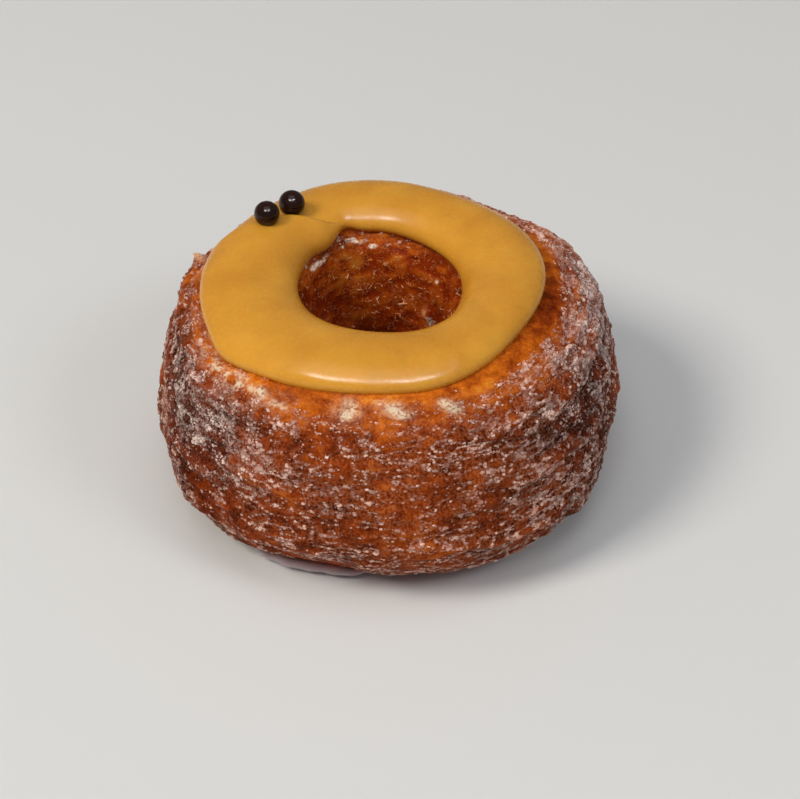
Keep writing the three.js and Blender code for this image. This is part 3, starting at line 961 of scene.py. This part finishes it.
# %% Places for the grains
def face_frames(points):
    """Area and outward normal of each cell of a closed grid, from the cross product of its diagonals."""
    right = np.roll(points, -1, 0)
    over = np.roll(right, -1, 1)
    up = np.roll(points, -1, 1)
    cross = np.cross(over - points, up - right)
    length = np.linalg.norm(cross, axis=-1)
    return length / 2, cross / np.maximum(length, 1e-9)[..., None]


cell_area, cell_normal = face_frames(crust_points)
TRIES = 10
DUST_WIDENS = 5


def scatter(count, weight, spread, random):
    """Draws places on the crust: cells by area times weight, then a random point inside each. Of many more
    than needed it keeps those nearest to the strands, the lines where the strand noise is zero, with less
    care where it is dusty. Gives the points, the normals, how brown and how dusty the crust is, and 1 on a
    strand falling off beside it."""
    row_gaps = np.diff(row_stops, append=ROW_SPANS[-1][1])
    chance = (cell_area * weight).ravel()
    cells = random.choice(chance.size, TRIES * count, p=chance / chance.sum())
    column, row = np.unravel_index(cells, cell_area.shape)
    u, v = random.random((2, TRIES * count, 1))
    turn = column_angles[column] + u[:, 0] * 2 * np.pi / AROUND
    strand = strand_noise(turn, row_stops[row] + v[:, 0] * row_gaps[row])
    width = spread * (1 + DUST_WIDENS * dusty[column, row])
    keep = np.argsort(np.abs(strand) / width + random.exponential(1, TRIES * count))[:count]
    column, row, u, v = column[keep], row[keep], u[keep], v[keep]
    core = np.exp(-((strand[keep] / (0.13 + 0.3 * dusty[column, row])) ** 2))
    after_column, after_row = (column + 1) % AROUND, (row + 1) % len(row_stops)
    low = crust_points[column, row] * (1 - u) + crust_points[after_column, row] * u
    high = crust_points[column, after_row] * (1 - u) + crust_points[after_column, after_row] * u
    return low * (1 - v) + high * v, cell_normal[column, row], browning[column, row], dusty[column, row], core


print("area of the crust, cm2:", (cell_area.sum() / 100).round(1))

# %% Shapes of grains
BLOCK_CORNERS = np.array([[x, y, z] for z in (-1, 1) for y in (-1, 1) for x in (-1, 1)], float)
BLOCK_FACES = np.array([[0, 2, 3, 1], [4, 5, 7, 6], [0, 1, 5, 4], [2, 6, 7, 3], [0, 4, 6, 2], [1, 3, 7, 5]])
CHIP_CORNERS = np.array([[1, 0, 0], [-1, 0, 0], [0, 1, 0], [0, -1, 0], [0, 0, 1], [0, 0, -1]], float)
CHIP_FACES = np.array([
    [0, 2, 4], [2, 1, 4], [1, 3, 4], [3, 0, 4], [2, 0, 5], [1, 2, 5], [3, 1, 5], [0, 3, 5]])
LUMP_CORNERS = np.concatenate([BLOCK_CORNERS * 0.75, BLOCK_CORNERS[BLOCK_FACES].mean(1) * 1.15])
LUMP_FACES = np.concatenate([
    np.stack([BLOCK_FACES[:, k], BLOCK_FACES[:, (k + 1) % 4], np.arange(8, 14)], -1) for k in range(4)])


def random_turns(random, count):
    """Random rotations: unit quaternions from four normal draws, written out as matrices."""
    draws = random.normal(size=(count, 4))
    w, x, y, z = (draws / np.linalg.norm(draws, axis=1, keepdims=True)).T
    return np.stack([
        np.stack([1 - 2 * (y * y + z * z), 2 * (x * y - w * z), 2 * (x * z + w * y)], -1),
        np.stack([2 * (x * y + w * z), 1 - 2 * (x * x + z * z), 2 * (y * z - w * x)], -1),
        np.stack([2 * (x * z - w * y), 2 * (y * z + w * x), 1 - 2 * (x * x + y * y)], -1)], -2)


def grain_uv(count, faces_each, sides):
    """A small square of the map for each grain, so that each keeps its own tone when baked."""
    across = int(np.ceil(np.sqrt(count)))
    cell = np.stack(np.divmod(np.arange(count), across), -1)
    corner = np.array([[0.1, 0.1], [0.9, 0.1], [0.9, 0.9], [0.1, 0.9]])[:sides]
    return np.repeat(((cell[:, None, :] + corner) / across)[:, None], faces_each, 1)


print("corners of a block, a chip and a lump:", *map(len, (BLOCK_CORNERS, CHIP_CORNERS, LUMP_CORNERS)))

# %% Meshes of grains
SIZE_VARIES = 0.25
DUSTY_LARGER = 0.2
DRAWN_OUT = 0.3
PRESSED_FLAT = 0.35
LIFTED = 0.2


def sugar_piece(name, corners, faces, count, weight, half_size, spread, seed, shape):
    """Grains on the crust: half-lengths spread round a size times a shape, larger where it is dusty, corners
    jittered, turned at random, drawn out along the ring, pressed flat on the crust and partly sunk in it."""
    random = np.random.default_rng(seed)
    places, normals, brown, grey, core = scatter(count, weight, spread, random)
    size = half_size * np.exp(random.normal(0, SIZE_VARIES, (count, 1))) * (1 + DUSTY_LARGER * grey[:, None])
    lengths = size * random.uniform(0.7, 1.3, (count, 3)) * shape
    jitter = random.uniform(0.7, 1.1, (count, len(corners), 3))
    turned = np.einsum("nij,nkj->nki", random_turns(random, count), corners * jitter * lengths[:, None, :])
    along_ring = np.stack([-places[:, 1], places[:, 0], 0 * places[:, 0]], -1)
    along_ring /= np.linalg.norm(along_ring, axis=1, keepdims=True)
    drawn = along_ring * (DRAWN_OUT * (1 - grey))[:, None]
    turned += np.einsum("nki,ni,nj->nkj", turned, along_ring, drawn)
    turned -= PRESSED_FLAT * np.einsum("nki,ni,nj->nkj", turned, normals, normals)
    points = turned + (places + normals * size * LIFTED)[:, None, :]
    all_faces = (faces[None] + len(corners) * np.arange(count)[:, None, None]).reshape(-1, faces.shape[1])
    piece = mesh_object(name, place_in_frame(points.reshape(-1, 3)), all_faces, False)
    thick = smooth_step(lattice_noise(places / 2.5, 151), -0.5, 0.6)
    cloudy = 0.05 + (0.3 + 0.7 * core) * (0.45 + 0.55 * thick) * random.uniform(0.2, 1.6, count)
    lift = np.einsum("nki,ni->nk", turned, normals) / size
    cloudy = cloudy[:, None] * smooth_step(lift, -0.15, 0.5)
    add_tone(piece, "cloudiness", cloudy)
    add_tone(piece, "browning", np.repeat(brown, len(corners)))
    add_tone(piece, "dusty", np.repeat(grey, len(corners)))
    add_uv(piece, grain_uv(count, *faces.shape))
    print(f"{name}: {count} grains, {len(all_faces) * (faces.shape[1] - 2)} triangles")
    return piece


# %% Sugar material
def sugar_material(name, warm, grey, full=1.0):
    """Clear sugar: a grain has the colour of the crust beneath it, whitened by its cloudiness, and shines."""
    material, tree, shader = new_material(name)
    beneath = ramp_node(tree, tone_node(tree, "browning"), CRUST_TONES)
    cloud = mix_node(tree, tone_node(tree, "dusty"), warm, grey)
    whiten = range_node(tree, tone_node(tree, "cloudiness"), 0.0, full)
    tree.links.new(mix_node(tree, whiten, beneath, cloud), shader.inputs["Base Color"])
    shader.inputs["Roughness"].default_value = 0.32
    shader.inputs["Specular IOR Level"].default_value = 0.4
    return material


sugar_finish = sugar_material("sugar", linear(230, 184, 164), linear(228, 204, 194))
fine_finish = sugar_material("fine_sugar", linear(218, 160, 132), linear(218, 190, 178))
# Curls in the hole are partly torn crust and partly painted glints, so they are bright.
curl_and_glint_finish = sugar_material("curls_and_glints", linear(246, 190, 140), linear(250, 220, 190), 0.6)
print("nodes in the sugar's finish:", len(sugar_finish.node_tree.nodes))

# %% All the grains
ROUND = np.array([1, 1, 1])
CURL = np.array([3.0, 0.45, 0.45])
BLOCK = (BLOCK_CORNERS, BLOCK_FACES)
CHIP = (CHIP_CORNERS, CHIP_FACES)
LUMP = (LUMP_CORNERS, LUMP_FACES)
fine_sugar = sugar + 0.4 * near(268, 34, 5.95, 0.3) * open_crust * (1 - cream)
# The curls, partly torn crust and partly painted glints, lie mostly on the crests of the hole's wrinkles and
# thin out further down.
curl_and_glint_weight = in_hole * (0.3 + 0.7 * smooth_step(wrinkle, -0.1, 0.3)) * (1 - 0.6 * smooth_step(stop, 10.4, 11.6))
SUGAR_KINDS = {
    "sugar_clumps": (sugar_finish, *LUMP, 7000, sugar, 0.18, 0.20, 4, ROUND),
    "sugar_crystals": (sugar_finish, *BLOCK, 16000, sugar, 0.17, 0.28, 5, ROUND),
    "sugar_grains": (sugar_finish, *CHIP, 22000, sugar, 0.19, 0.40, 6, ROUND),
    "sugar_dust": (fine_finish, *CHIP, 24000, fine_sugar, 0.16, 0.80, 8, ROUND),
    "sugar_specks": (fine_finish, *CHIP, 24000, fine_sugar, 0.13, 1.20, 10, ROUND),
    "hole_curls_and_glints": (curl_and_glint_finish, *CHIP, 1100, curl_and_glint_weight, 0.18, 0.60, 9, CURL),
}
for name, (finish, *recipe) in SUGAR_KINDS.items():
    grains = sugar_piece(name, *recipe)
    grains.data.materials.append(finish)
    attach(grains, "root")

# %% [markdown]
# ## Floor and light
#
# The pastry stands on a plain pale floor. A warm key panel at the left, a little in front, throws the shadow
# to the right. Weaker panels fill the front and the right, a broad one overhead softens the top, and the
# world lifts the shadows. Three windows light nothing: they only show in the gloss, where they draw the
# streaks along the glaze and the glints on the pearls.

# %% Floor
FLOOR_HALF = 1.5
corners = np.array([[-1, -1, 0], [1, -1, 0], [1, 1, 0], [-1, 1, 0]]) * FLOOR_HALF
floor = mesh_object("floor", corners, np.array([[0, 1, 2, 3]]))
floor_finish, floor_tree, floor_shader = new_material("pale_floor")
floor_shader.inputs["Base Color"].default_value = (0.72, 0.72, 0.72, 1)
floor_shader.inputs["Roughness"].default_value = 0.6
floor_shader.inputs["Specular IOR Level"].default_value = 0.0
floor.data.materials.append(floor_finish)
print("the floor is", 2 * FLOOR_HALF, "m across")


# %% Lamps
LAMP_DISTANCE = 1500


def lamp(name, azimuth, elevation, size_mm, watts, colour, lights=True, shines=True):
    """A lamp that shines on the pastry from an azimuth and elevation in degrees. It lights surfaces, shows
    in their gloss, or both."""
    data = bpy.data.lights.new(name, "AREA")
    data.shape = "RECTANGLE"
    data.size, data.size_y = (np.array(size_mm) * MM).tolist()
    data.energy = watts
    data.color = colour
    flat = np.cos(np.radians(elevation))
    away = np.array([*on_ring(flat, azimuth), np.sin(np.radians(elevation))])
    lamp_object = bpy.data.objects.new(name, data)
    lamp_object.location = (ring_middle + away * LAMP_DISTANCE) * MM
    lamp_object.rotation_euler = Vector(away).to_track_quat("Z", "Y").to_euler()
    lamp_object.visible_diffuse = lights
    lamp_object.visible_glossy = shines
    bpy.context.scene.collection.objects.link(lamp_object)


lamp("key", 210, 48, (460, 460), 13.0, (1.0, 0.95, 0.85), shines=False)
lamp("front_panel", 262, 56, (500, 400), 2.5, (1.0, 1.0, 1.0), shines=False)
lamp("right_panel", 322, 45, (500, 400), 3.8, (0.92, 0.96, 1.0), shines=False)
lamp("overhead", 270, 84, (1100, 800), 3.8, (1.0, 1.0, 1.0))
lamp("window_left", 248, 60, (400, 200), 11.0, (1.0, 0.98, 0.94), lights=False)
lamp("window_middle", 292, 60, (140, 200), 6.4, (0.95, 0.98, 1.0), lights=False)
lamp("window_right", 317, 60, (130, 160), 5.4, (0.95, 0.98, 1.0), lights=False)
world = bpy.data.worlds.new("soft_room")
world.use_nodes = True
world.node_tree.nodes["Background"].inputs["Color"].default_value = (0.94, 0.96, 1.0, 1)
world.node_tree.nodes["Background"].inputs["Strength"].default_value = 0.18
bpy.context.scene.world = world
bpy.context.scene.view_settings.view_transform = "Standard"
print("lamps:", len(bpy.data.lights))
